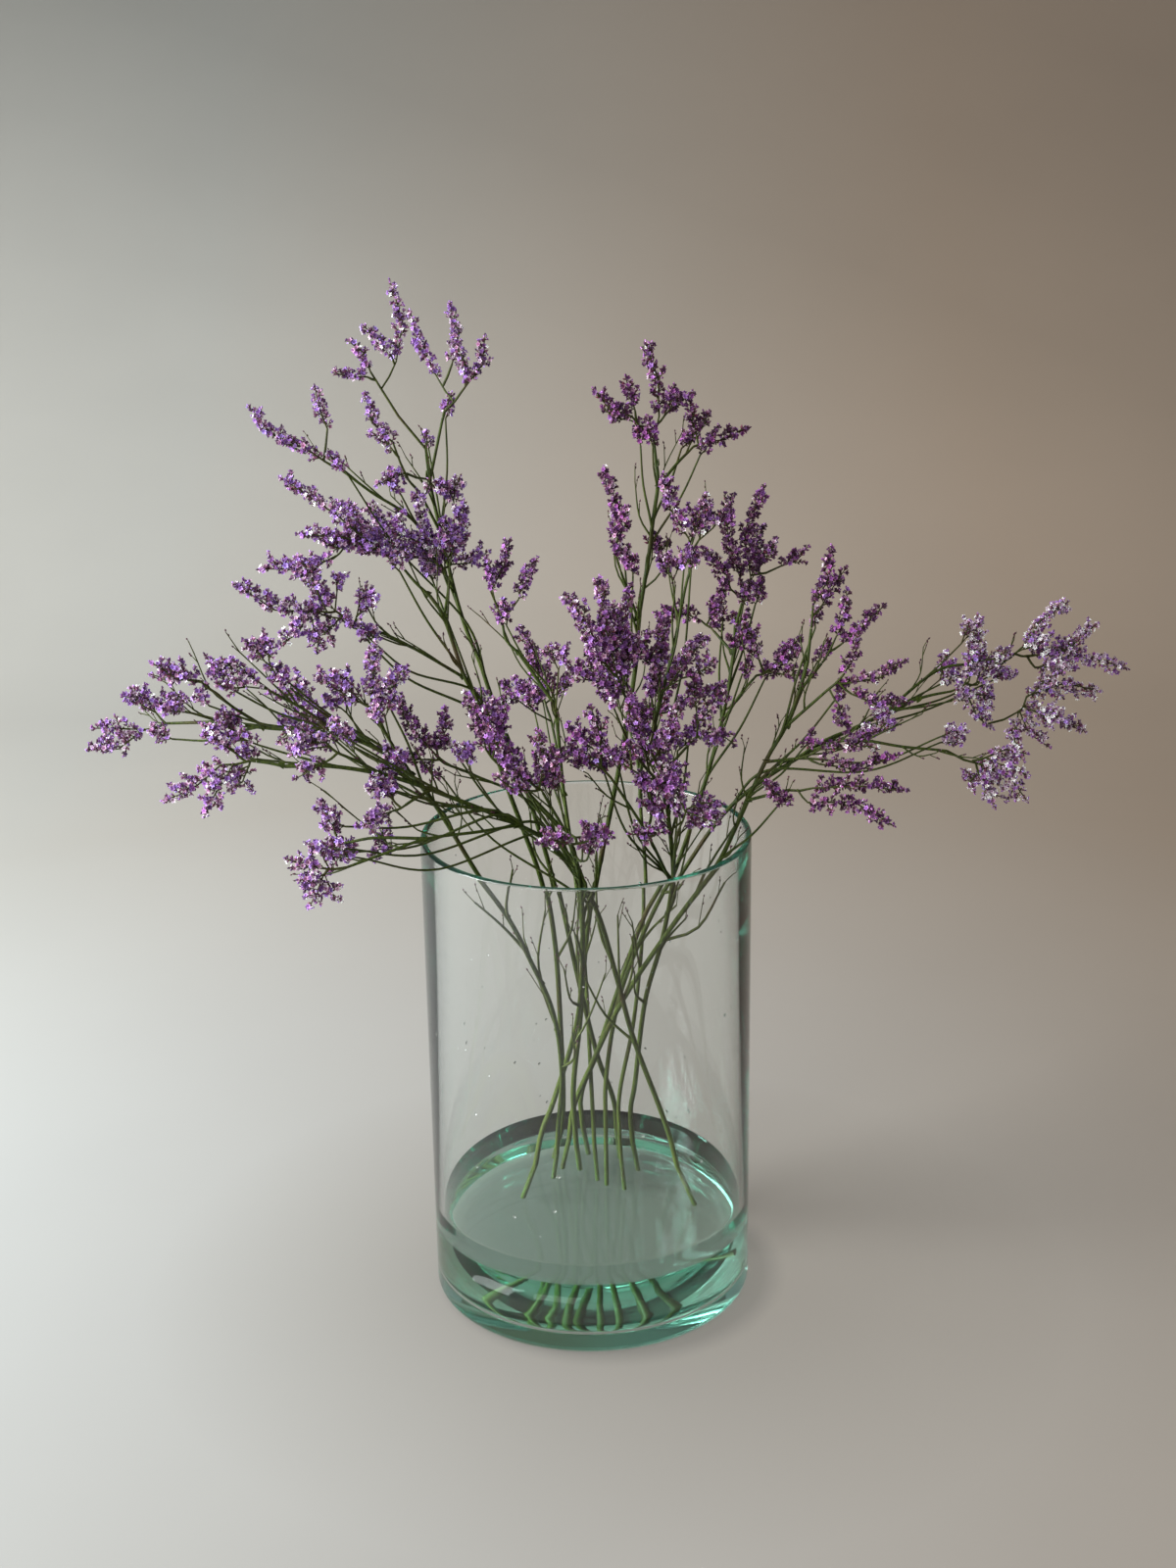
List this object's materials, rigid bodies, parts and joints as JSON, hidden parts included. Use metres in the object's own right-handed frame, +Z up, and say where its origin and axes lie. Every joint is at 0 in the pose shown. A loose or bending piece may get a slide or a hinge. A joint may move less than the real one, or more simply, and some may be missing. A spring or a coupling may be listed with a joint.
{
  "type": "statice bouquet in a glass cylinder vase",
  "caption": "Loose fan of purple sea-lavender statice stems standing in shallow water in a clear glass cylinder vase.",
  "frame": {"origin": "centre of the vase's flat bottom, on the surface that the vase stands on", "axes": "+Z up along the vase's axis; +X to the right and +Y away as the bouquet is seen from its front"},
  "size_m": [0.6244, 0.2823, 0.6247],
  "materials": {
    "vase_glass": "clear, faint green, polished",
    "vase_water": "clear water",
    "stem_green": "matt olive green, thin ribs",
    "floret_purple": "papery violet florets with pinkish calyxes"
  },
  "bodies": {
    "root": {"spray_back_low": "floret_purple", "spray_back_pair": "floret_purple", "spray_bush_core": "floret_purple", "spray_bush_front": "floret_purple", "spray_bush_high": "floret_purple", "spray_bush_left": "floret_purple", "spray_bush_low": "floret_purple", "spray_bush_right": "floret_purple", "spray_centre_right": "floret_purple", "spray_centre_spike": "floret_purple", "spray_centre_top": "floret_purple", "spray_crown_back": "floret_purple", "spray_fan_front": "floret_purple", "spray_fan_lower": "floret_purple", "spray_fan_middle": "floret_purple", "spray_fan_tip": "floret_purple", "spray_fan_upper": "floret_purple", "spray_far_left_rise": "floret_purple", "spray_far_left_tip": "floret_purple", "spray_far_left_upper": "floret_purple", "spray_far_right_drop": "floret_purple", "spray_far_right_low": "floret_purple", "spray_far_right_tip": "floret_purple", "spray_front_dome": "floret_purple", "spray_front_left": "floret_purple", "spray_left_core": "floret_purple", "spray_left_crown": "floret_purple", "spray_left_droop": "floret_purple", "spray_left_mass_inner": "floret_purple", "spray_left_mass_outer": "floret_purple", "spray_left_tips": "floret_purple", "spray_low_front": "floret_purple", "spray_low_hang": "floret_purple", "spray_low_inner": "floret_purple", "spray_low_left_tip": "floret_purple", "spray_low_side": "floret_purple", "spray_mid_left": "floret_purple", "spray_rear_left": "floret_purple", "spray_rear_right": "floret_purple", "spray_right_arch": "floret_purple", "spray_right_back": "floret_purple", "spray_right_crown": "floret_purple", "spray_rim_front": "floret_purple", "spray_rim_right": "floret_purple", "spray_top": "floret_purple", "spray_top_right": "floret_purple", "stem_back_left": "stem_green", "stem_back_right": "stem_green", "stem_centre_bush": "stem_green", "stem_centre_tall": "stem_green", "stem_far_left": "stem_green", "stem_far_right": "stem_green", "stem_front": "stem_green", "stem_left_tall": "stem_green", "stem_low_left": "stem_green", "stem_right_fan": "stem_green", "stem_right_tall": "stem_green", "stem_top_left": "stem_green", "vase": "vase_glass", "water": "vase_water"}
  },
  "joints": []
}
